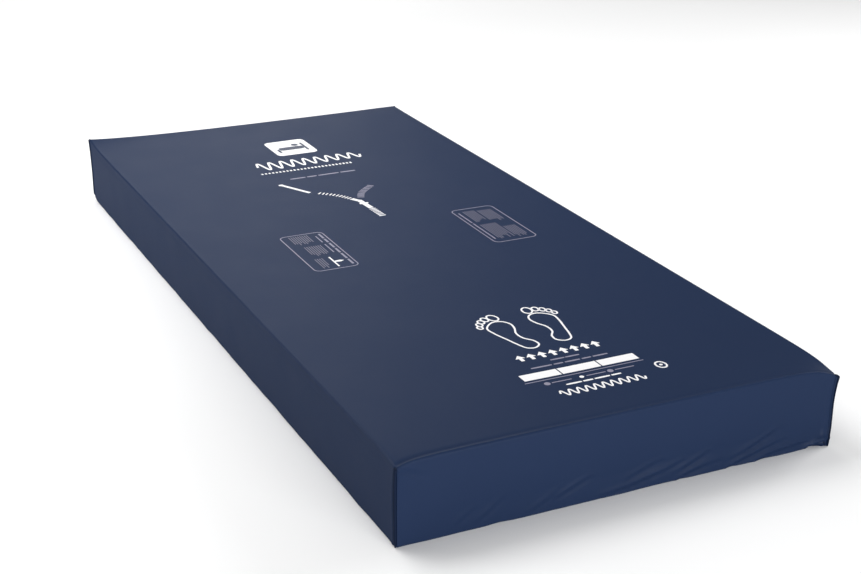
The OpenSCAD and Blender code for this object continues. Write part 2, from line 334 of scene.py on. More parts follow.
class Shell:
    """A sheet folded over a box: a cap of xs by ys points, and rows of points that run round it.

    profile gives each row as (how far outside the cap's edge, height), from the cap outwards.
    square says at which corners, as signs of x and y, the rows keep a nearly square corner.
    """

    def __init__(self, xs, ys, cap_z, profile, corner_steps=16, square=(), closed=False):
        nx, ny = len(xs), len(ys)
        last_x, last_y = nx - 1, ny - 1
        turn = [90 * k / corner_steps for k in range(1, corner_steps)]
        sides = (
            [(i, 0) for i in range(nx)], [(last_x, j) for j in range(ny)],
            [(i, last_y) for i in reversed(range(nx))], [(0, j) for j in reversed(range(ny))],
        )
        ring = []
        for start, cells in zip((-90, 0, 90, 180), sides):
            ring += [(*cell, start) for cell in cells] + [(*cells[-1], start + a) for a in turn]
        self.i, self.j = (np.array([r[k] for r in ring]) for k in (0, 1))
        self.angle = np.array([r[2] for r in ring], float)
        a = np.radians(self.angle)
        self.way = np.stack([np.cos(a), np.sin(a)], 1)
        reach = np.ones(len(ring))
        for sx, sy in square:
            here = (self.way[:, 0] * sx > 1e-6) & (self.way[:, 1] * sy > 1e-6)
            reach[here] = 1 / np.abs(self.way[here]).max(1)
        self.base = np.stack([xs[self.i], ys[self.j]], 1)
        self.size = len(ring)
        self.rows = len(profile)
        self.heights = [z for _, z in profile]

        grid_x, grid_y = np.meshgrid(xs, ys, indexing="ij")
        self.cap_size = nx * ny
        flat, none = np.zeros((self.cap_size, 2)), np.zeros(self.cap_size)
        cap = np.stack([grid_x.ravel(), grid_y.ravel(), none + cap_z], 1)
        layers = [(cap, flat, none)]  # points, the way out at each, and how far it is down the side
        furthest = max(o for o, _ in profile)
        for o, z in profile:
            xy = self.base + self.way * (o * reach)[:, None]
            row = np.column_stack([xy, np.full(self.size, z)])
            layers.append((row, self.way, np.full(self.size, min(1, o / furthest))))
        if closed:
            layers.append((cap * (1, 1, 0) + (0, 0, profile[-1][1]), flat, none))
        self.points, self.out, self.side = (np.concatenate(part) for part in zip(*layers))

        self.cap_faces = [
            (i * ny + j, (i + 1) * ny + j, (i + 1) * ny + j + 1, i * ny + j + 1)
            for i in range(last_x) for j in range(last_y)
        ]
        self.wall_faces = {}
        for r in range(self.rows):
            for k in range(self.size):
                n = (k + 1) % self.size
                face = (self.at(r, k), self.at(r + 1, k), self.at(r + 1, n), self.at(r, n))
                self.wall_faces[r, k] = tuple(dict.fromkeys(face))
        self.floor_faces = []
        if closed:
            start = self.cap_size + self.rows * self.size
            self.floor_faces = [tuple(start + v for v in reversed(f)) for f in self.cap_faces]
            for k in range(self.size):
                n = (k + 1) % self.size
                face = (
                    self.at(self.rows, k), start + self.at(0, k),
                    start + self.at(0, n), self.at(self.rows, n),
                )
                self.floor_faces.append(tuple(dict.fromkeys(face)))

    def faces(self):
        return self.cap_faces + list(self.wall_faces.values()) + self.floor_faces

    def at(self, row, column):
        """Number of the point in a row; row 0 is the cap's own edge."""
        if row == 0:
            ny = int(self.j.max()) + 1
            return int(self.i[column] * ny + self.j[column])
        return self.cap_size + (row - 1) * self.size + column

    def seam_gap(self, fold):
        """Each column's distance, along its row, from the nearest upright corner of a square shell."""
        off_middle = np.radians(np.abs(self.angle % 90 - 45))
        turned = fold * (1 - np.tan(math.pi / 4 - off_middle))
        low, high = self.base.min(0), self.base.max(0)
        from_end = np.minimum(self.base - low, high - self.base)
        along = np.where(np.abs(self.way[:, 1]) > 0.5, from_end[:, 0], from_end[:, 1])
        return np.where(self.angle % 90 != 0, turned, fold + along)


def cap_lines(low, high, turn, step):
    """The lines, along x and along y, of a cap that ends at turn inside a box."""
    return (steps((low[k] + turn, step), high[k] - turn) for k in (0, 1))


def fold_profile(reach, top, radius, heights, arc_steps=7):
    """Rows round a fold of that radius and then down to each height."""
    arc = [math.pi / 2 * k / arc_steps for k in range(1, arc_steps + 1)]
    rows = [(reach - radius + radius * math.sin(a), top - radius + radius * math.cos(a)) for a in arc]
    return rows + [(reach, z) for z in heights]


def normals_of(points, faces):
    """Smooth normals, weighted by the faces' areas."""
    total = np.zeros_like(points)
    for size in (3, 4):
        group = np.array([f for f in faces if len(f) == size], int)
        if len(group):
            across = points[group[:, 2]] - points[group[:, 0]]
            other = points[group[:, -1]] - points[group[:, 1]]
            flat = np.cross(across, other)
            for k in range(size):
                np.add.at(total, group[:, k], flat)
    return total / np.maximum(np.linalg.norm(total, axis=1, keepdims=True), 1e-12)


def cloth(name, points, normals, faces, thickness, stuff, body):
    """A closed sheet of fabric: its outer faces, its inner faces a thickness behind, and its edges.

    normals come from the whole cover, so that two pieces that meet are shaded as one.
    """
    used = sorted({v for f in faces for v in f})
    new = {v: k for k, v in enumerate(used)}
    n = len(used)
    outer = points[used]
    inner = outer - normals[used] * np.broadcast_to(thickness, len(points))[used][:, None]
    inner[:, 2] = np.maximum(inner[:, 2], 0.2 * MM)  # a hem that lies on the floor stays above it
    front = [[new[v] for v in f] for f in faces]
    back = [[v + n for v in reversed(f)] for f in front]
    edges = {(a, b) for f in front for a, b in zip(f, f[1:] + f[:1])}
    rim = [[b, a, a + n, b + n] for a, b in edges if (b, a) not in edges]
    rim.sort()
    piece = new_object(name, np.concatenate([outer, inner]), front + back + rim, stuff, None)
    mesh = piece.data
    at_vertex = np.concatenate([normals[used], -normals[used]])
    loop_vertex = np.zeros(len(mesh.loops), int)
    mesh.loops.foreach_get("vertex_index", loop_vertex)
    shading = at_vertex[loop_vertex]
    first = sum(len(f) for f in front + back)
    for k, polygon in enumerate(mesh.polygons[len(front) + len(back):]):
        shading[first + 4 * k:first + 4 * k + 4] = polygon.normal
    mesh.normals_split_custom_set(shading.tolist())
    if body:
        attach(piece, body)
    return piece


# ---------- the cover ----------

# How far each top corner is pulled out by its seam: along x, along y and down, and how far that spreads
EARS = {
    (1, 1): (4 * MM, 4.5 * MM, 17 * MM, 30 * MM),
    (1, -1): (8 * MM, 2 * MM, 6 * MM, 24 * MM),
    (-1, -1): (3 * MM, 2 * MM, 0, 24 * MM),
    (-1, 1): (-1 * MM, 4 * MM, 0.5 * MM, 30 * MM),
}
EAR_DEPTH = 0.5  # share of the height over which an ear runs out

CROWN = 1.6 * MM  # rise of the top from its edges to its middle
TOP_SWELL = 0.5 * MM  # height of the long, faint swells of the top
BELLY = 1.8 * MM  # how far the sides stand out half way down
BELLY_CHANGE = 0.8 * MM  # how much that varies along a side
LOOSE_Z = 70 * MM  # below this, the fabric is looser
HEM_SAG = 1.7 * MM  # how much lower the foot side's hem hangs
LONG_LIP = 1.0 * MM  # height of the lip along the long sides' folds
PROUD = (1.8 * MM, 1.3 * MM)  # how far the right side stands out, and up
CURL = 13 * MM  # rise of the head end at its left corner
BUNCH = (11 * MM, -12 * MM)  # along x and y, at the bottom of the foot's right corner

# How far each seam stands out all the way down, and how far the hem is lifted at its foot
SEAM_RIDGE = {
    (1, 1): (7 * MM, 0), (1, -1): (2 * MM, 0),
    (-1, -1): (1 * MM, 14 * MM), (-1, 1): (0, 8 * MM),
}

# Creases on the foot side: start, middle and end as (y, z), then depth, in millimetres
CREASES = [
    ((-330, 15), (-315, 25), (-295, 38), 1.6),
    ((-290, 12), (-265, 27), (-240, 46), 2.0),
    ((-195, 5), (-160, 20), (-125, 40), 2.0),
    ((-140, 20), (-105, 33), (-70, 46), 3.0),
    ((-50, 5), (45, 17), (120, 35), 3.6),
    ((0, 22), (35, 34), (75, 46), 2.2),
    ((110, 0), (145, 12), (200, 19), 3.4),
    ((110, 16), (140, 27), (175, 40), 3.4),
    ((215, 0), (262, 13), (340, 30), 4.0),
    ((220, 15), (280, 34), (330, 56), 3.6),
    ((280, 0), (350, 12), (425, 12), 3.6),
    ((398, 3), (416, 6), (438, 10), 9.0),
    ((-434, 148), (-415, 138), (-385, 124), 2.0),
]
HEM_KINKS = [(302, 1.4, 20), (79, 1.2, 26), (-251, 1.6, 22)]  # place, height, width
CREASE_WIDTH = 3.6 * MM


def crease(y, z, start, middle, end, depth):
    """How far a crease moves the fabric outwards: a groove with a ridge above it."""
    a, b, c = (np.array(p) * MM for p in (start, middle, end))
    t = np.linspace(0, 1, 28)[:, None]
    line = a + (4 * b - 3 * a - c) * t + 2 * (a + c - 2 * b) * t * t
    gap = np.stack([y, z], 1)[:, None, :] - line[None]
    distance = np.linalg.norm(gap, axis=2)
    nearest = distance.argmin(1)
    pick = np.arange(len(y))
    above = distance[pick, nearest] * np.sign(gap[pick, nearest, 1])
    along = t[nearest, 0]
    fade = np.sin(math.pi * np.clip(0.08 + 0.84 * along, 0, 1)) ** 0.7
    past = np.clip(np.abs(gap[pick, nearest, 0]) / (6 * CREASE_WIDTH), 0, 1)
    shape = bump_at(above, 1.7 * CREASE_WIDTH, 1.2 * CREASE_WIDTH) - bump_at(above, 0, CREASE_WIDTH)
    return depth * MM * fade * shape * (1 - past)


def shape_cover(shell):
    """Moves the plain shell's points to where the real fabric lies."""
    p = shell.points.copy()
    x, y, z = shell.points.T
    side = shell.side
    from_end, from_side = HALF_L - np.abs(x), HALF_W - np.abs(y)
    down = (TOP - z) / TOP
    flat_part = 1 - side
    near_corner = np.hypot(np.maximum(from_end, 0), np.maximum(from_side, 0))
    lateral = np.maximum(from_end, from_side)
    free = 1 - np.exp(-np.maximum(lateral - FOLD_R, 0) / (45 * MM))
    out = np.zeros(len(p))
    lift = np.zeros(len(p))

    # the top: a low crown, and long faint swells
    inset = np.minimum(from_end, from_side)
    lift += CROWN * (1 - np.exp(-inset / (70 * MM))) * flat_part
    swell = ripple(x + 0.6 * y, 3, 0.61, 0.37) * ripple(y - 0.3 * x, 4, 0.53, 0.29)
    lift += TOP_SWELL * swell * np.clip(inset / (60 * MM), 0, 1) * flat_part

    # the sides: a little fuller half way down, and softly uneven
    along = np.where(from_end < from_side, y, x)
    belly = np.sin(math.pi * np.clip(down, 0, 1)) * free * side
    out += (BELLY + BELLY_CHANGE * ripple(along, 5, 0.43, 0.27, 0.155)) * belly
    low = np.clip((LOOSE_Z - z) / LOOSE_Z, 0, 1) ** 1.5
    at_foot = (x > 0) & (from_end < from_side)
    loose = np.where(at_foot, 1.0, 0.7) * MM
    out += loose * low * ripple(along, 6, 0.31, 0.17, 0.093) * free * side
    lift += 0.5 * MM * (low ** 2) * ripple(along, 7, 0.26, 0.121, 0.07) * free * side
    hang = (1 - np.clip((z - HEM_Z) / (40 * MM), 0, 1)) * at_foot * side
    lift -= HEM_SAG * hang
    out += (4 + 3 * y / HALF_W) * MM * hang * free

    # creases on the foot side
    here = np.where(at_foot & (side > 0.99))[0]
    for start, middle, end, depth in CREASES:
        out[here] += crease(y[here], z[here], start, middle, end, depth)

    for place, height, width in HEM_KINKS:
        lift += height * MM * bump_at(y, place * MM, width * MM) * (low ** 3) * at_foot * side

    # the foot end's fold: a lip with a groove behind it, deeper towards the left
    groove = (0.4 + 1.5 * np.exp(-(y + HALF_W) / 0.2)) * MM
    ends = 1 - np.exp(-(from_side / (7 * MM)) ** 2)
    centre = 12 * MM - 5 * MM * np.exp(-from_side / (28 * MM))
    fold = 0.8 * MM * bump_at(from_end, 3 * MM, 3.5 * MM) - groove * bump_at(from_end, centre, 5 * MM)
    lift += fold * (x > 0) * ends * (z > TOP - FOLD_R)
    # the long sides' folds: a narrow lip, with a shallow groove just under it
    ends = 1 - np.exp(-(from_end / (30 * MM)) ** 2)
    lift += LONG_LIP * bump_at(from_side, 2 * MM, 3 * MM) * ends * (z > TOP - FOLD_R)
    under = bump_at(TOP - z, 9 * MM, 2.6 * MM) * (from_side < from_end)
    out -= (1.1 - 0.5 * y / HALF_W) * MM * under * side * ends

    # the right side stands a little proud, and the head end curls up towards its left corner
    right = np.clip(y / HALF_W, 0, 1) ** 4
    middle = np.clip(0.8 - x / 1.1, -0.2, 1)
    p[:, 1] += PROUD[0] * right * middle
    lift += PROUD[1] * right * middle
    curl = np.exp(-(x + HALF_L) / (42 * MM)) * np.exp(-(y + HALF_W) / (175 * MM))
    lift += CURL * curl * np.clip(1 - down / 0.8, 0, 1) ** 1.3

    # the corner seams pull the top corners out and down
    for (sx, sy), (ox, oy, drop, spread) in EARS.items():
        here = (np.sign(x) == sx) & (np.sign(y) == sy)
        close = np.exp(-near_corner / spread) * here
        run = np.clip(1 - down / EAR_DEPTH, 0, 1) ** 1.7
        p[:, 0] += sx * ox * close * run
        p[:, 1] += sy * oy * close * run
        p[:, 2] -= drop * close * np.exp(-(TOP - z) / (45 * MM))

        ridge, hem_lift = SEAM_RIDGE[sx, sy]
        edge = ridge * 0.7 * np.exp(-near_corner / (9 * MM)) * here * side
        p[:, 0] += sx * edge
        p[:, 1] += sy * edge
        hem = np.exp(-near_corner / (13 * MM)) * np.clip(1 - z / (24 * MM), 0, 1)
        p[:, 2] += hem_lift * hem * here

    # grooves either side of each seam
    gap = np.concatenate([np.full(shell.cap_size, 1.0)] + [shell.seam_gap(FOLD_R)] * shell.rows)
    centre = SEAM_GAP[0] + (SEAM_GAP[1] - SEAM_GAP[0]) * z / TOP
    on_long_side = np.abs(shell.out[:, 1]) > 0.71
    centre += 2 * MM * on_long_side
    deep, wide = (2.4 + 0.8 * on_long_side) * MM, (0.8 + 0.5 * on_long_side) * MM
    out -= deep * bump_at(gap, centre, wide) * side
    beside = (x > 0) & (at_foot == (y > 0))
    out += 1.2 * MM * bump_at(gap, 11 * MM, 3.5 * MM) * side * beside * np.clip(down * 3, 0, 1)

    p[:, :2] += shell.out * out[:, None]
    p[:, 2] += lift

    # the fabric is bunched at the bottom of the right corner at the foot
    bunch = np.exp(-near_corner / (24 * MM)) * np.clip(1 - z / (34 * MM), 0, 1) * side
    p[:, :2] += np.outer(bunch * (x > 0) * (y > 0), BUNCH)
    p[:, 2] = np.maximum(p[:, 2], 0.4 * MM)  # nothing goes into the floor
    return p


def panel_of(shell):
    """Which part of the cover the fabric under each column belongs to: head, left, foot or right."""
    following = np.roll(shell.angle, -1)
    following[-1] += 360
    angle = (shell.angle + following) / 2
    x = (shell.base[:, 0] + np.roll(shell.base[:, 0], -1)) / 2
    panel = np.select([angle < -45, angle < 45, angle < 135], ["left", "foot", "right"], "head")
    return np.where((panel != "foot") & (x < FLAP_X0), "head", panel)


def cover_shell():
    edge_x, edge_y = HALF_L - FOLD_R, HALF_W - FOLD_R
    xs = steps(
        (-edge_x, 1 * MM), (-0.975, 2.5 * MM), (FLAP_X0, 7 * MM), (-0.86, 13 * MM),
        (0.86, 7 * MM), (0.94, 2.5 * MM), (0.975, 1 * MM), edge_x,
    )
    ys = steps((-edge_y, 2 * MM), (-0.4, 5 * MM), (0.4, 2 * MM), edge_y)
    heights = steps((-(TOP - FOLD_R), 6 * MM), (-SPLIT_Z, 3.5 * MM), (-HEM_DEEP, 3 * MM), -HEM_Z)[1:]
    profile = fold_profile(FOLD_R, TOP, FOLD_R, [-z for z in heights])
    return Shell(xs, ys, TOP, profile, corner_steps=24, square=[(1, 1), (1, -1), (-1, -1)])


def make_cover():
    shell = cover_shell()
    points = shape_cover(shell)
    normals = normals_of(points, shell.faces())
    panel = panel_of(shell)
    split_row = next(k for k, z in enumerate(shell.heights) if abs(z - SPLIT_Z) < 1e-6) + 1
    thickness = np.where(points[:, 2] < HEM_DEEP, 2 * FABRIC_T, FABRIC_T)
    parts = {"top": list(shell.cap_faces), "left": [], "foot": [], "right": []}
    for (row, column), face in shell.wall_faces.items():
        name = panel[column] if row >= split_row and panel[column] != "head" else "top"
        parts[name].append(face)

    top = cloth("cover_top", points, normals, parts["top"], thickness, NAVY, ROOT)
    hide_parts("top_cover")

    for side in ("left", "foot", "right"):
        name = f"cover_flap_{side}"
        flap = cloth(name, points, normals, parts[side], thickness, NAVY, None)
        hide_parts(f"flap_{side}")
        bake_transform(flap)
    return shell, points


def corner_seams(shell, points):
    """A raised cord down each upright corner, following the cover's own corner."""
    names = {(1, 1): "foot_right", (1, -1): "foot_left", (-1, -1): "head_left", (-1, 1): "head_right"}
    for (sx, sy), name in names.items():
        middle = math.degrees(math.atan2(sy, sx))
        middle = middle + 360 if middle < -90 else middle
        column = int(np.abs(shell.angle - middle).argmin())
        line = np.array([points[shell.at(r, column)] for r in range(2, shell.rows + 1)])
        way = np.array([sx, sy, 0]) / math.sqrt(2)
        across = np.array([-sy, sx, 0]) / math.sqrt(2)
        verts = []
        count = len(line)
        ahead = np.gradient(line, axis=0)
        ahead /= np.linalg.norm(ahead, axis=1)[:, None]
        for k, point in enumerate(line):
            end = min(k, count - 1 - k)
            girth = [0.35, 0.8, 1.0][min(end, 2)]  # it tapers over its last two rings
            outward = np.cross(across, ahead[k])
            outward *= np.sign(outward @ way)
            # half the cord's width and height, both more near its top, where the seam is bunched
            wide = (2.3 + 0.5 * math.exp(-k / 6)) * MM * girth
            proud = (1.3 + 1.0 * math.exp(-k / 7)) * MM * girth
            for a in circle_angles(CORD_SIDES):
                place = point + across * wide * math.cos(a) + outward * (proud * math.sin(a) - 0.4 * MM)
                place[2] = max(place[2], FLOOR_GAP)
                verts.append(place)
        faces = tube_faces(count, CORD_SIDES)
        cord = new_object(f"seam_{name}", verts, faces, CORD_NAVY_PAINTED_SHADE, None)
        fix_normals(cord)
        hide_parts(f"corner_seam_{name}")
        if sx > 0:  # its low end stays on the edge of the foot flap
            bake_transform(cord)
        else:
            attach(cord, ROOT)


def make_base():
    """The base cover: a shallow tray whose rim carries the lower zip tape."""
    low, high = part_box("base_cover")
    turn = 37.6 * MM  # radius of its upright corners
    fold = 4 * MM  # radius of the fold below its rim
    xs, ys = cap_lines(low, high, turn, 12 * MM)
    arc = [math.pi / 2 * k / 5 for k in range(6)]
    profile = [(turn - fold + fold * math.sin(a), fold - fold * math.cos(a)) for a in arc]
    profile += [(turn, z) for z in steps((fold, 3 * MM), high.z)[1:]]
    shell = Shell(xs, ys, 0.0, profile, square=[(-1, 1), (-1, -1)])
    points = shell.points.copy()
    x, y, z = points.T
    # the sheet lifts a little between the places where it lies on the floor
    inset = np.minimum(np.minimum(x - low.x, high.x - x), np.minimum(y - low.y, high.y - y))
    swell = 0.5 + 0.5 * ripple(x + 0.4 * y, 11, 0.47, 0.23) * ripple(y - 0.2 * x, 12, 0.36, 0.19)
    points[:, 2] += 0.6 * MM * swell * np.clip(inset / (50 * MM), 0, 1) * (shell.side < 0.5)
    faces = [tuple(reversed(f)) for f in shell.faces()]
    normals = normals_of(points, faces)
    base = cloth("base_sheet", points, normals, faces, FABRIC_T, NAVY_BASE, ROOT)
    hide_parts("base_cover")


# ---------- the zip ----------

def zip_path(inset, step, x0=TEETH_X0):
    """Points along the zip's line, with the way out of the mattress and the way along at each."""
    turn = ZIP_TURN - inset
    x_turn, y_turn = HALF_L - ZIP_TURN, HALF_W - ZIP_TURN
    straight, arc = x_turn - x0, turn * math.pi / 2
    total = 2 * (straight + arc + y_turn)
    count = int(total / step)
    found = []
    for k in range(count + 1):
        d = total * k / count
        flip = -1 if d > total / 2 else 1  # the right side mirrors the left
        d = min(d, total - d)
        a = min(max((d - straight) / turn, 0), math.pi / 2)
        x = x0 + min(d, straight) + turn * math.sin(a)
        y = y_turn + turn * math.cos(a) - max(d - straight - arc, 0)
        way = Vector((math.sin(a), -flip * math.cos(a), 0))
        found.append((Vector((x, -flip * y, 0)), way, Vector((-way.y, way.x, 0))))
    return found


def zip_tape(row, path, outline):
    """A tape: its outline, as (outwards, height) pairs, carried along the path."""
    verts = [spot + way * o + Vector((0, 0, z)) for spot, way, _ in path for o, z in outline]
    faces = tube_faces(len(path), len(outline))
    tape = new_object(f"tape_{row}", verts, faces, TAPE, ROOT)
    fix_normals(tape)
    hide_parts(f"zip_tape_{row}")


def zip_tapes():
    """Both tapes, each with a bead along the edge that its teeth grip."""
    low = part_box("zip_tape_lower")[0]
    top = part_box("zip_tape_upper")[1].z
    t = TAPE_T / 2
    path = zip_path(ZIP_Y, 8 * MM, low.x)
    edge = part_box("zip_teeth_lower")[0].z
    neck = edge - 1 * MM
    bead = 1.8 * t
    zip_tape("lower", path, [(-t, low.z), (t, low.z), (t, neck), (bead, edge), (-bead, edge), (-t, neck)])
    # the upper tape rises to the fold line, turns out to the cover, and is sewn up inside it
    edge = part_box("zip_teeth_upper")[1].z
    neck = edge + 1 * MM
    fold = top - 12 * MM + TAPE_T
    reach = ZIP_Y - 1.9 * MM
    zip_tape("upper", path, [
        (bead, edge), (t, neck), (t, fold - TAPE_T), (reach, fold - TAPE_T), (reach + TAPE_T, fold),
        (reach + TAPE_T, top), (reach, top), (reach, fold), (-t, fold), (-t, neck), (-bead, edge),
    ])


def small_solids(path, rings):
    """A small closed solid at each point of the path: rings of (along, outwards, height)."""
    verts, faces = [], []
    for spot, way, along in path[:-1]:
        faces += tube_faces(len(rings), len(rings[0]), len(verts))
        verts += [spot + along * a + way * o + Vector((0, 0, z)) for ring in rings for a, o, z in ring]
    return verts, faces


def zip_teeth():
    """Two rows of moulded teeth that interlock at the zip's line."""
    root = ZIP_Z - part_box("zip_teeth_lower")[0].z + 0.15 * MM
    tip = 0.85 * MM
    # outline of a tooth, seen from outside: half width along the zip, height from the zip's line
    half = [(0.95, -root), (0.7, -1.3 * MM), (0.95, -0.5 * MM), (0.95, 0.4 * MM), (0.55, tip)]
    outline = [(w * MM, h) for w, h in half] + [(-w * MM, h) for w, h in reversed(half)]
    thick = 1.25 * MM
    layers = ((-thick, 0.8), (-0.6 * thick, 1.0), (0.6 * thick, 1.0), (thick, 0.8))
    path = zip_path(ZIP_Y, TOOTH_PITCH)
    for row, sign, phase in (("lower", 1, 0.0), ("upper", -1, 0.5)):
        shift = phase * TOOTH_PITCH
        rings = [[(w * grow + shift, o, ZIP_Z + sign * h) for w, h in outline] for o, grow in layers]
        verts, faces = small_solids(path, rings)
        teeth = new_object(f"teeth_{row}", verts, faces, TEETH, ROOT, smooth=False)
        fix_normals(teeth)
        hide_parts(f"zip_teeth_{row}")


def stitching():
    """Stitches that hold the lower tape to the base's rim."""
    verts, faces = [], []
    long, gap, r = 2.6 * MM, 0.9 * MM, 0.28 * MM
    path = zip_path(ZIP_Y - TAPE_T / 2, long + gap)
    ends = ((0, 0.3), (0.15, 1), (0.85, 1), (1, 0.3))  # share of the length, share of the girth
    for height in (11 * MM, 17 * MM):
        rings = [
            [(long * share, r * girth * math.cos(a) + 0.1 * MM, height + r * girth * math.sin(a))
             for a in circle_angles(6)]
            for share, girth in ends
        ]
        row_verts, row_faces = small_solids(path, rings)
        faces += [tuple(len(verts) + v for v in f) for f in row_faces]
        verts += row_verts
    stitches = new_object("zip_stitching", verts, faces, THREAD, ROOT)
    fix_normals(stitches)


def zip_metal():
    """The slider, its pull tab and the stops keep their CAD shape, with broken edges."""
    for name in ("zip_slider", "zip_rivet", "zip_pull", "zip_top_stops", "zip_bottom_stop"):
        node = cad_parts[name]
        node.data.materials.clear()
        node.data.materials.append(METAL)
        edge = node.modifiers.new("broken_edges", "BEVEL")
        edge.width = 0.25 * MM
        edge.segments = 2
        edge.limit_method = "ANGLE"
        edge.angle_limit = math.radians(40)


# ---------- inside ----------

SOCK_T = 0.6 * MM


def sunk(points, low, high, deep):
    """Lets a block's top corners sink, as the cover's corners do."""
    x, y, z = points.T
    near = np.hypot(np.minimum(x - low.x, high.x - x), np.minimum(y - low.y, high.y - y))
    points[:, 2] -= deep * np.exp(-near / (30 * MM)) * np.clip((z - high.z + 60 * MM) / (60 * MM), 0, 1)
    return points


def make_sock():
    """The knitted fire barrier: a closed bag that follows the foam core."""
    low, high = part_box("fire_barrier_sock")
    step_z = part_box("base_foam")[1].z - 1 * MM
    turn = 32 * MM  # radius of the foam's upright corners, with the sock on
    reach = turn - SOCK_T
    xs, ys = cap_lines(low, high, turn, 15 * MM)
    top = high.z - 0.3 * MM
    profile = fold_profile(reach, top, 9 * MM, [120 * MM, 90 * MM, step_z + 3 * MM, step_z])
    inner = turn - 11.6 * MM  # round the base layer, which is set in
    profile += [(inner, step_z + 0.2 * MM), (inner, 40 * MM), (inner, 20 * MM), (inner, 3 * MM)]
    profile += [(inner - 1 * MM, low.z + 1 * MM)]
    shell = Shell(xs, ys, top, profile, corner_steps=8, closed=True)
    points = sunk(shell.points.copy(), low, high, 16 * MM)
    below = points[:, 2] < step_z + 1 * MM
    corner = np.abs(shell.out[:, 0] * shell.out[:, 1]) * 2
    points[:, :2] -= shell.out * (4 * MM * corner * below * (shell.side > 0))[:, None]
    faces = shell.faces()
    normals = normals_of(points, faces)
    sock = cloth("barrier_sock", points, normals, faces, SOCK_T, SOCK, ROOT)
    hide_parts("fire_barrier_sock")


def foam_piece(name, verts, faces, node, slot):
    """A block of foam that stands for a CAD node."""
    piece = new_object(name, verts, faces, FOAMS[slot], ROOT)
    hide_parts(node)
    return piece


def foam_slab(name, node, slot, turn, fold, sink=0.0, slack=0.8 * MM):
    """A foam slab with rounded edges, a little smaller than its place; its top corners may sink."""
    low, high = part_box(node)
    low, high = low + Vector((slack, slack, 0)), high - Vector((slack, slack, 0))
    xs, ys = cap_lines(low, high, turn, 14 * MM)
    walls = steps((-(high.z - fold), 14 * MM), -(low.z + fold))[1:]
    arc = [math.pi / 2 * k / 4 for k in range(1, 5)]
    profile = fold_profile(turn, high.z, fold, [-z for z in walls], 4)
    profile += [(turn - fold + fold * math.cos(a), low.z + fold - fold * math.sin(a)) for a in arc]
    shell = Shell(xs, ys, high.z, profile, corner_steps=6, closed=True)
    points = sunk(shell.points.copy(), low, high, sink)
    foam_piece(name, points, shell.faces(), node, slot)


def foam_cells(name, node, cells, bevel=2.5 * MM):
    """A zone of foam cut into cells."""
    bm = bmesh.new()
    for low, high in cell_boxes(node, cells):
        made = bmesh.ops.create_cube(bm, size=1)
        centre, size = (low + high) / 2, high - low
        for v in made["verts"]:
            v.co = Vector(c + s * x for c, s, x in zip(centre, size, v.co))
        edges = list({e for v in made["verts"] for e in v.link_edges})
        bmesh.ops.bevel(bm, geom=edges, offset=bevel, segments=3, profile=0.5, affect="EDGES")
    for face in bm.faces:
        face.smooth = True
    bm.to_mesh(foam_piece(name, [], [], node, "soft_foam").data)
    bm.free()


def cell_boxes(node, cells, cut=6 * MM, deep=40 * MM):
    """A slab, and the foam cells that stand on it: cells is their number along x and along y."""
    low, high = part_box(node)
    slab_top = high.z - deep
    spans = []
    for k, n in enumerate(cells):
        edges = np.linspace(low[k], high[k], n + 1)
        starts, ends = edges[:-1] + cut / 2, edges[1:] - cut / 2
        starts[0], ends[-1] = low[k], high[k]
        spans.append(list(zip(starts, ends)))
    found = [(low.copy(), Vector((high.x, high.y, slab_top)))]
    for x0, x1 in spans[0]:
        for y0, y1 in spans[1]:
            found.append((Vector((x0, y0, slab_top - 4 * MM)), Vector((x1, y1, high.z))))
    return found


def make_core():
    """Every block of foam in the core."""
    foam_slab("foam_base", "base_foam", "firm_foam", 33 * MM, 6 * MM, slack=0.3 * MM)
    for side in ("left", "right"):
        foam_slab(f"foam_bolster_{side}", f"bolster_{side}", "firm_foam", 30 * MM, 8 * MM, 15 * MM)
    foam_slab("foam_support", "support_foam", "support_foam", 6 * MM, 3 * MM)
    for zone, cells in (("head", (4, 6)), ("body", (11, 8)), ("heel", (9, 6))):
        foam_cells(f"foam_zone_{zone}", f"{zone}_zone_foam", cells)


# ---------- prints on the top ----------

def height_of_top(shell, points):
    """A function that gives the height of the cover's top at a point."""
    xs, ys = (np.unique(shell.points[:shell.cap_size, k]) for k in (0, 1))
    grid = points[:shell.cap_size, 2].reshape(len(xs), len(ys))

    def height(x, y):
        i = min(max(int(np.searchsorted(xs, x)) - 1, 0), len(xs) - 2)
        j = min(max(int(np.searchsorted(ys, y)) - 1, 0), len(ys) - 2)
        u = (x - xs[i]) / (xs[i + 1] - xs[i])
        v = (y - ys[j]) / (ys[j + 1] - ys[j])
        near, far = (grid[k, j] * (1 - v) + grid[k, j + 1] * v for k in (i, i + 1))
        return float(near * (1 - u) + far * u)

    return height


INK_UP = 0.3 * MM  # the ink's face above the fabric
INK_DOWN = 0.4 * MM


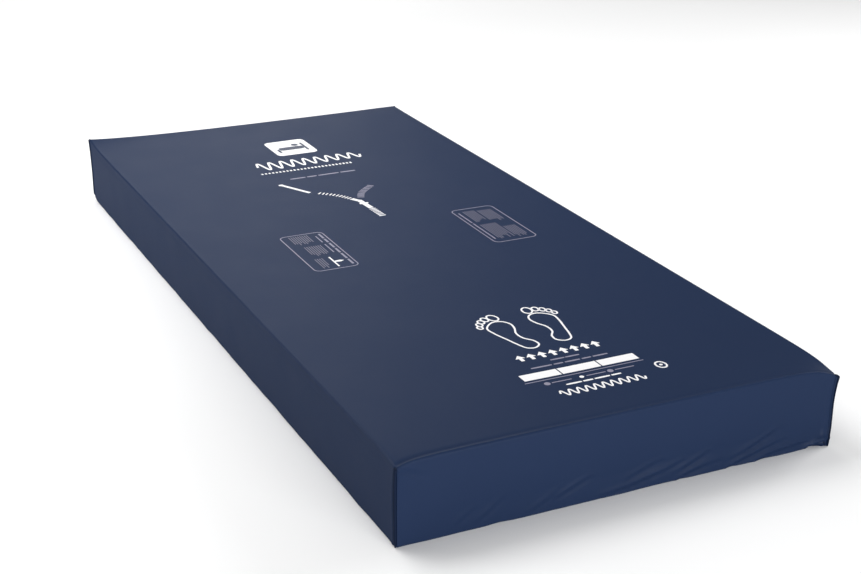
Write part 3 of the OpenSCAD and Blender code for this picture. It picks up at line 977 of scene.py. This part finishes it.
class Print:
    """Marks printed on the top, drawn as closed flat slabs that follow the fabric."""

    def __init__(self, name, stuff, height):
        self.name, self.stuff, self.height = name, stuff, height
        self.verts, self.faces = [], []

    def fill(self, places, faces, rims):
        """A slab of ink: its upper face, the same one below, and walls along its rims."""
        first = len(self.verts)
        for x, y in places:
            z = self.height(x, y)
            self.verts += [(x, y, z + INK_UP), (x, y, z - INK_DOWN)]
        for face in faces:
            above = tuple(first + 2 * v for v in face)
            self.faces += [above, tuple(v + 1 for v in reversed(above))]
        for rim in rims:
            ends = [first + 2 * v for v in rim]
            self.faces += [(a, a + 1, b + 1, b) for a, b in zip(ends, ends[1:] + ends[:1])]

    def slab(self, outline):
        """A small filled convex outline, as (x, y) in metres, counter-clockwise from above."""
        around = list(range(len(outline)))
        self.fill(outline, [around], [around])

    def stroke(self, line, width, closed=False):
        """A line of constant width through points, as a closed ribbon."""
        points = cut_finely([np.array(p, float) for p in line], closed)
        n = len(points)
        left, right = [], []
        for k, p in enumerate(points):
            ways = [p - points[k - 1]] if k or closed else []
            ways += [points[(k + 1) % n] - p] if k < n - 1 or closed else []
            ways = [way / np.linalg.norm(way) for way in ways]
            mean = sum(ways) / np.linalg.norm(sum(ways))
            reach = width / 2 / max(0.4, abs(float(mean @ ways[0])))
            left.append(p + reach * np.array([-mean[1], mean[0]]))
            right.append(p - reach * np.array([-mean[1], mean[0]]))
        pairs = [(k, (k + 1) % n) for k in range(n if closed else n - 1)]
        there, back = list(range(n)), list(range(2 * n - 1, n - 1, -1))
        rims = [there, back] if closed else [there + back]
        self.fill(left + right, [(a, n + a, n + b, b) for a, b in pairs], rims)

    def bar(self, x0, x1, y0, y1, radius=0.0):
        """A filled rectangle, with rounded corners if radius is given, cut finely enough to lie flat."""
        nx, ny = (max(1, math.ceil((b - a) / (12 * MM))) for a, b in ((x0, x1), (y0, y1)))
        if nx == ny == 1:
            square = [(x0, y0), (x1, y0), (x1, y1), (x0, y1)]
            self.slab(rounded_rectangle(x0, x1, y0, y1, radius, 5) if radius else square)
            return
        places = []
        for i in range(nx + 1):
            for j in range(ny + 1):
                x, y = x0 + (x1 - x0) * i / nx, y0 + (y1 - y0) * j / ny
                cx = min(max(x, x0 + radius), x1 - radius)
                cy = min(max(y, y0 + radius), y1 - radius)
                far = math.hypot(x - cx, y - cy)
                if far > radius:
                    x, y = cx + (x - cx) * radius / far, cy + (y - cy) * radius / far
                places.append((x, y))
        row = ny + 1
        starts = [i * row + j for i in range(nx) for j in range(ny)]
        rim = [i * row for i in range(nx)] + [nx * row + j for j in range(ny)]
        rim += [i * row + ny for i in range(nx, 0, -1)] + list(range(ny, 0, -1))
        self.fill(places, [(a, a + row, a + row + 1, a + 1) for a in starts], [rim])

    def disc(self, x, y, radius):
        self.slab([(x + radius * math.cos(a), y + radius * math.sin(a)) for a in circle_angles(20)])

    def ring(self, x, y, radius_x, radius_y, width, turn=0.0):
        c, s = math.cos(turn), math.sin(turn)
        oval = [(radius_x * math.cos(a), radius_y * math.sin(a)) for a in circle_angles(28)]
        self.stroke([(x + c * u - s * v, y + s * u + c * v) for u, v in oval], width, closed=True)

    def done(self):
        """Makes the piece."""
        fix_normals(new_object(self.name, self.verts, self.faces, self.stuff, ROOT, smooth=False))


def cut_finely(points, closed, longest=15 * MM):
    """The same line, with points added on its long parts."""
    found = []
    ends = points[1:] + (points[:1] if closed else [])
    for a, b in zip(points, ends):
        n = max(1, math.ceil(np.linalg.norm(b - a) / longest))
        found += [a + (b - a) * k / n for k in range(n)]
    return found if closed else found + [points[-1]]


def rounded_rectangle(x0, x1, y0, y1, radius, corner_steps=6):
    found = []
    corners = [(x1 - radius, y0 + radius, -90), (x1 - radius, y1 - radius, 0),
               (x0 + radius, y1 - radius, 90), (x0 + radius, y0 + radius, 180)]
    for cx, cy, start in corners:
        for k in range(corner_steps + 1):
            a = math.radians(start + 90 * k / corner_steps)
            found.append((cx + radius * math.cos(a), cy + radius * math.sin(a)))
    return found


def smooth_line(points, per_span=8, closed=False):
    """A curve through the points."""
    p = [np.array(q, float) for q in points]
    n = len(p)
    found = []
    for k in range(n if closed else n - 1):
        a, b, c, d = (p[(k + s) % n] if closed else p[min(max(k + s, 0), n - 1)] for s in (-1, 0, 1, 2))
        for s in range(per_span):
            t = s / per_span
            found.append(0.5 * (2 * b + (c - a) * t + (2 * a - 5 * b + 4 * c - d) * t ** 2
                                + (3 * b - a - 3 * c + d) * t ** 3))
    return found if closed else found + [p[-1]]


def wave_line(x, y0, y1, high, waves, fade=0.0):
    """A plain wave that runs across the mattress."""
    found = []
    for t in np.linspace(0, 1, waves * 14 + 1):
        swing = high / 2 * (1 - fade * t) * math.sin(2 * math.pi * waves * t)
        found.append((x - swing, y0 + (y1 - y0) * t))
    return found


def text_bars(mark, x, y0, y1, high, words):
    """A row of plain bars in place of words; words are the shares of the row's length."""
    gap = 0.02 * (y1 - y0)
    total = sum(words)
    y = y0
    for share in words:
        long = (y1 - y0) * share / total
        mark.bar(x - high / 2, x + high / 2, y, y + long - gap, 0.4 * high)
        y += long


def make_prints(height):
    marks = []

    def mark(name, stuff=WHITE_INK, up=0.0):
        marks.append(Print(name, stuff, lambda x, y: height(x, y) + up))
        return marks[-1]

    # a badge with a bed on it, in place of the maker's block
    badge = mark("print_badge")
    badge.bar(-0.788, -0.662, -0.028, 0.082, 0.014)
    bed = mark("print_badge_bed", NAVY_INK, 0.15 * MM)
    bed.bar(-0.73, -0.704, -0.008, 0.06, 0.007)
    bed.bar(-0.756, -0.686, 0.06, 0.067, 0.003)
    bed.bar(-0.718, -0.686, -0.015, -0.008, 0.003)
    bed.disc(-0.743, 0.044, 0.0095)

    wave = mark("print_wave")
    wave.stroke(wave_line(-0.594, -0.11, 0.168, 0.06, 9, 0.3), 0.0058)
    for k in range(26):
        y = -0.121 + 0.0095 * k
        wave.bar(-0.541, -0.533 + 0.0001 * k, y, y + 0.0048)

    words = mark("print_words_head", GREY_INK)
    text_bars(words, -0.47, -0.07, 0.108, 0.0065, (3, 2, 4, 3))
    zip_sign(mark("print_zip_sign"), mark("print_zip_sign_rows", GREY_INK))
    panel = mark("print_panel_left", GREY_INK)
    panel_left(panel, mark("print_panel_left_white"), mark("print_small_left", DIM_INK))
    panel_right(mark("print_panel_right", GREY_INK), mark("print_small_right", DIM_INK))
    footprints(mark("print_footprints"))
    foot_end_marks(mark("print_foot_marks"), mark("print_foot_lines", GREY_INK))
    for each in marks:
        each.done()


def ticks(mark, line, long, wide, every):
    """Short bars across a line, evenly spaced along it."""
    points = [np.array(p, float) for p in smooth_line(line, 40)]
    gone, due = 0.0, 0.0
    for a, b in zip(points, points[1:]):
        way = (b - a) / np.linalg.norm(b - a)
        if gone >= due:
            left = np.array([-way[1], way[0]]) * long / 2
            mark.stroke([a - left, a + left], wide)
            due += every
        gone += np.linalg.norm(b - a)


def zip_sign(white, grey):
    """Where to unzip the cover: two rows of teeth that meet at a slider."""
    white.bar(-0.4395, -0.43, -0.113, -0.101, 0.003)
    white.stroke([(-0.434, -0.106), (-0.352, -0.064)], 0.0085)
    ticks(white, [(-0.338, -0.044), (-0.302, -0.01), (-0.256, 0.014)], 0.013, 0.0034, 0.0092)
    ticks(grey, [(-0.34, 0.09), (-0.3, 0.05), (-0.262, 0.032)], 0.017, 0.0042, 0.009)
    white.stroke([(-0.262, 0.011), (-0.24, 0.024)], 0.011)
    white.stroke([(-0.25, 0.021), (-0.214, 0.024), (-0.186, 0.026)], 0.0125)
    white.bar(-0.228, -0.22, 0.012, 0.035, 0.002)
    ticks(white, [(-0.179, 0.0262), (-0.15, 0.0275), (-0.122, 0.0285)], 0.016, 0.0042, 0.0088)


def small_print(mark, x0, x1, y0, y1, pitch=0.0052, seed=1):
    """Rows of thin bars along x, of uneven length, in place of small print."""
    rng = np.random.default_rng(seed)
    y = y0
    while y < y1:
        long = (x1 - x0) * rng.uniform(0.72, 1.0)
        mark.bar(x0, x0 + long, y, y + 0.4 * pitch)
        y += pitch


def panel_left(grey, white, dim):
    grey.stroke(rounded_rectangle(-0.082, 0.145, -0.243, -0.143, 0.013), 0.0022, closed=True)
    left_half = ((-0.07, -0.04), (-0.034, -0.012), (-0.006, 0.024))
    right_half = ((0.03, 0.058), (0.064, 0.096), (0.102, 0.132))
    for x0, x1 in left_half + right_half:
        grey.bar(x0, x1, -0.1548, -0.1502)
    grey.bar(-0.058, -0.017, -0.1655, -0.163)
    grey.bar(-0.003, 0.05, -0.1655, -0.163)
    small_print(dim, -0.074, -0.016, -0.224, -0.18, seed=2)
    small_print(dim, -0.002, 0.062, -0.214, -0.176, seed=3)
    small_print(dim, 0.076, 0.134, -0.22, -0.2, seed=4)
    white.bar(0.075, 0.134, -0.1875, -0.184)
    white.slab([(0.101, -0.184), (0.107, -0.184), (0.109, -0.171), (0.104, -0.163), (0.099, -0.171)])


def panel_right(grey, dim):
    grey.stroke(rounded_rectangle(-0.083, 0.149, 0.182, 0.287, 0.013), 0.0022, closed=True)
    grey.bar(-0.06, 0.01, 0.191, 0.194)
    grey.bar(0.016, 0.126, 0.191, 0.194)
    small_print(dim, -0.066, 0.014, 0.205, 0.232, seed=5)
    small_print(dim, -0.06, 0.02, 0.24, 0.276, seed=6)
    small_print(dim, 0.03, 0.132, 0.202, 0.24, seed=7)
    small_print(dim, 0.06, 0.134, 0.246, 0.272, seed=8)


def footprints(mark):
    """A plain pair of footprints, heels towards the foot end, toes turned a little outwards."""
    sole = [
        (-0.02, -0.002), (-0.014, 0.018), (0.006, 0.025), (0.03, 0.019), (0.056, 0.006),
        (0.084, 0.004), (0.108, 0.013), (0.13, 0.011), (0.14, -0.004), (0.132, -0.018),
        (0.108, -0.023), (0.07, -0.026), (0.03, -0.029), (-0.002, -0.026),
    ]
    # each toe's place and its half sizes
    toes = [
        (-0.038, 0.014, 0.015, 0.01), (-0.04, -0.004, 0.01, 0.0066),
        (-0.034, -0.017, 0.0088, 0.006), (-0.025, -0.0275, 0.008, 0.0055),
        (-0.013, -0.035, 0.0072, 0.005),
    ]
    for x0, y0, side, turn in ((0.566, -0.03, 1, 0.17), (0.56, 0.066, -1, 0.13)):
        c, s = math.cos(turn), side * math.sin(turn)

        def place(u, v):
            u = u * (0.86 if u > 0 else 1)
            return (x0 + c * u - s * v * side, y0 + s * u + c * v * side)

        mark.stroke(smooth_line([place(*p) for p in sole], 6, closed=True), 0.0038, closed=True)
        for u, v, rx, ry in toes:
            mark.ring(*place(u, v), rx, ry, 0.0036, turn * side)


def arrow(mark, y, x_tip, x_end):
    """A plain arrow that points towards the head end."""
    neck = x_tip + 0.013
    mark.slab([(x_tip, y), (neck, y - 0.0098), (neck, y + 0.0098)])
    mark.bar(neck, x_end, y - 0.0036, y + 0.0036)


def foot_end_marks(white, grey):
    # arrows, in place of words that say which side goes up
    for k in range(8):
        arrow(white, -0.064 + 0.0229 * k, 0.7055, 0.7305)
    text_bars(grey, 0.747, -0.017, 0.046, 0.0045, (2, 2))
    text_bars(grey, 0.766, -0.068, 0.098, 0.0045, (4, 2, 3, 2, 3))
    # three panels to write on
    for y0, y1 in ((-0.104, -0.028), (-0.025, 0.0545), (0.0575, 0.136)):
        white.bar(0.785, 0.81, y0, y1)
    grey.bar(0.818, 0.82, -0.109, 0.139)
    for y, radius, dot in ((-0.072, 0.006, grey), (-0.001, 0.0045, white), (0.059, 0.006, grey)):
        dot.disc(0.8345, y, radius)
        grey.bar(0.833, 0.8355, y + 0.01, y + 0.05)
    text_bars(white, 0.8515, -0.043, 0.074, 0.005, (3, 2, 3, 2))
    white.stroke(wave_line(0.88, -0.07, 0.104, 0.02, 10), 0.0036)
    white.ring(0.851, 0.157, 0.013, 0.01, 0.0036)
    white.disc(0.851, 0.157, 0.0035)


# ---------- stage ----------

FLOOR_SIZE = 60
SKY = 0.33  # strength of the white world
# Each lamp's name, place, the point it shines at, its diameter in metres and its power in watts
LIGHTS = [
    ("behind_head", (-4.8, 0.9, 1.3), (0, 0, 0.15), 2.4, 35),
    ("high_behind", (-5.5, 2.0, 3.0), (0, 0, 0.1), 3.0, 30),
    ("over_head_end", (-1.0, -0.9, 2.6), (-0.4, -0.1, 0.1), 2.0, 60),
    ("left_of_head", (-2.0, -3.5, 1.4), (-0.5, -0.4, 0.1), 2.0, 58),
    ("right", (0.1, 3.8, 2.2), (-0.1, 0, 0.1), 2.0, 88),
    ("foot_end", (4.2, 0.4, 1.1), (0.9, 0, 0.1), 1.8, 50),
    ("foot_left", (4.0, -0.8, 0.5), (0.9, -0.2, 0.1), 1.4, 58),
]


def make_stage():
    """A white floor and soft lamps all round, as in the photo's studio."""
    bpy.ops.mesh.primitive_plane_add(size=FLOOR_SIZE)
    floor = bpy.context.object
    floor.name = "floor"
    floor.data.materials.append(plain_floor("floor_white"))

    world = bpy.data.worlds.new("studio")
    bpy.context.scene.world = world
    world.use_nodes = True
    world.node_tree.nodes["Background"].inputs["Color"].default_value = (1, 1, 1, 1)
    world.node_tree.nodes["Background"].inputs["Strength"].default_value = SKY
    for light in LIGHTS:
        soft_light(*light)
    bpy.context.scene.view_settings.view_transform = "Standard"


def soft_light(name, place, target, size, power):
    """A round lamp that faces its target."""
    light = bpy.data.lights.new(name, "AREA")
    light.shape = "DISK"
    light.size = size
    light.energy = power
    lamp = bpy.data.objects.new(name, light)
    lamp.location = place
    lamp.rotation_mode = "QUATERNION"
    lamp.rotation_quaternion = (Vector(target) - Vector(place)).to_track_quat("-Z", "Y")
    bpy.context.scene.collection.objects.link(lamp)


# The camera: millimetres for the sensor and the lens, metres for its place, and the way it looks
SENSOR = 36
LENS = 66.32
CAMERA_PLACE = (3.0627, -1.3557, 1.3716)
CAMERA_AHEAD = (-0.83914, 0.39664, -0.37217)


def make_camera():
    """Looks along the mattress from beyond its foot end, a little from the left."""
    data = bpy.data.cameras.new("camera")
    data.sensor_width = SENSOR
    data.lens = LENS
    camera = bpy.data.objects.new("camera", data)
    camera.location = CAMERA_PLACE
    camera.rotation_mode = "QUATERNION"
    camera.rotation_quaternion = Vector(CAMERA_AHEAD).to_track_quat("-Z", "Y")
    bpy.context.scene.collection.objects.link(camera)
    bpy.context.scene.camera = camera


make_camera()
make_stage()
cover, cover_points = make_cover()
corner_seams(cover, cover_points)
make_base()
zip_tapes()
zip_teeth()
stitching()
zip_metal()
make_sock()
make_core()
make_prints(height_of_top(cover, cover_points))
